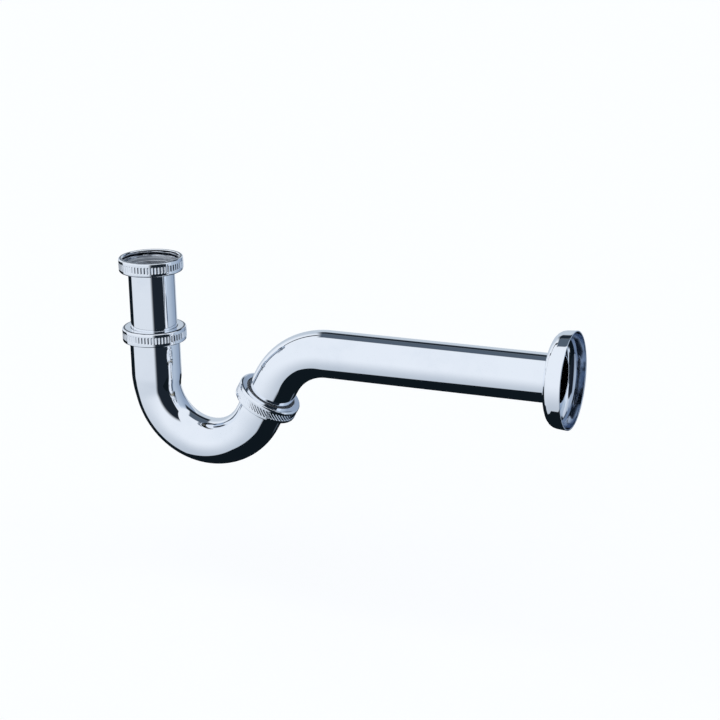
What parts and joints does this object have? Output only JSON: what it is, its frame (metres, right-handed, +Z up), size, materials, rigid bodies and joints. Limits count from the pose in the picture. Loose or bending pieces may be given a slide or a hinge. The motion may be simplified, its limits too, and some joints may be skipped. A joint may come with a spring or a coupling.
{
  "type": "p trap",
  "caption": "Tubular sink trap: threaded inlet nut and sliding inlet tube, J-shaped bend, inclined union joint, and a level wall tube with a round sliding cover rosette.",
  "frame": {"origin": "on the inlet axis, on the washer face that the basin waste seals against", "axes": "+Z up along the inlet axis, +X along the level wall tube towards the wall"},
  "size_m": [0.3215, 0.0638, 0.145],
  "materials": {
    "chrome_tube": "mirror-polished chrome plate on brass tube",
    "chrome_nut": "polished chrome plate with fluted grip band",
    "chrome_rosette": "mirror-polished chrome plate on drawn sheet",
    "plated_brass": "turned brass, dull plated",
    "rubber": "matt black rubber",
    "pale_rubber": "smooth pale grey rubber",
    "slip_plastic": "dark grey low-friction plastic"
  },
  "bodies": {
    "wall_arm": {"outlet_tube": "chrome_tube", "outlet_collar": "plated_brass"},
    "rosette_grip": {"rosette_grip_ring": "rubber"},
    "rosette_cup": {"rosette": "chrome_rosette"},
    "outlet_screw": {"outlet_slip_ring": "slip_plastic"},
    "outlet_union_nut": {"outlet_nut": "chrome_nut"},
    "trap": {"trap_bend": "chrome_tube", "bend_ferrule": "plated_brass", "outlet_ferrule": "plated_brass", "outlet_gasket": "rubber"},
    "bend_screw": {"bend_slip_ring": "slip_plastic"},
    "bend_union_nut": {"bend_nut": "chrome_nut"},
    "inlet_seal": {"bend_cone_seal": "rubber"},
    "inlet_leg": {"inlet_tube": "chrome_tube", "inlet_collar": "plated_brass", "inlet_washer": "pale_rubber"},
    "inlet_glide": {"inlet_slip_ring": "slip_plastic"},
    "inlet_union_nut": {"inlet_nut": "chrome_nut"}
  },
  "joints": [
    {"name": "rosette_slide", "type": "slide", "parent": "wall_arm", "child": "rosette_grip", "axis": [1, 0, 0], "range_m": [-0.14, 0]},
    {"name": "rosette_spin", "type": "hinge", "parent": "rosette_grip", "child": "rosette_cup", "pos_m": [0.29224, 0, -0.05155], "axis": [1, 0, 0], "continuous": true},
    {"name": "outlet_nut_travel", "type": "slide", "parent": "wall_arm", "child": "outlet_screw", "axis": [0.4848, 0, 0.8746], "range_m": [0, 0.0047]},
    {"name": "outlet_nut_spin", "type": "hinge", "parent": "outlet_screw", "child": "outlet_union_nut", "pos_m": [0.08656, 0, -0.08558], "axis": [0.4848, 0, 0.8746], "range_deg": [0, 720]},
    {"name": "trap_swivel", "type": "hinge", "parent": "wall_arm", "child": "trap", "pos_m": [0.08656, 0, -0.08558], "axis": [0.4848, 0, 0.8746], "range_deg": [-90, 90]},
    {"name": "bend_nut_travel", "type": "slide", "parent": "trap", "child": "bend_screw", "axis": [0, 0, 1], "range_m": [0, 0.007]},
    {"name": "bend_nut_spin", "type": "hinge", "parent": "bend_screw", "child": "bend_union_nut", "pos_m": [0, 0, -0.05], "axis": [0, 0, 1], "range_deg": [0, 1080]},
    {"name": "inlet_swivel", "type": "hinge", "parent": "trap", "child": "inlet_seal", "pos_m": [0, 0, -0.048], "axis": [0, 0, 1], "continuous": true},
    {"name": "inlet_height", "type": "slide", "parent": "inlet_seal", "child": "inlet_leg", "axis": [0, 0, 1], "range_m": [-0.005, 0.015]},
    {"name": "inlet_nut_drop", "type": "slide", "parent": "inlet_leg", "child": "inlet_glide", "axis": [0, 0, 1], "range_m": [-0.026, 0]},
    {"name": "inlet_nut_spin", "type": "hinge", "parent": "inlet_glide", "child": "inlet_union_nut", "pos_m": [0, 0, 0], "axis": [0, 0, 1], "continuous": true}
  ],
  "couplings": [
    {"joint": "outlet_nut_travel", "follows": "outlet_nut_spin", "m_per_rad": 0.00036749},
    {"joint": "bend_nut_travel", "follows": "bend_nut_spin", "m_per_rad": 0.00036749}
  ]
}
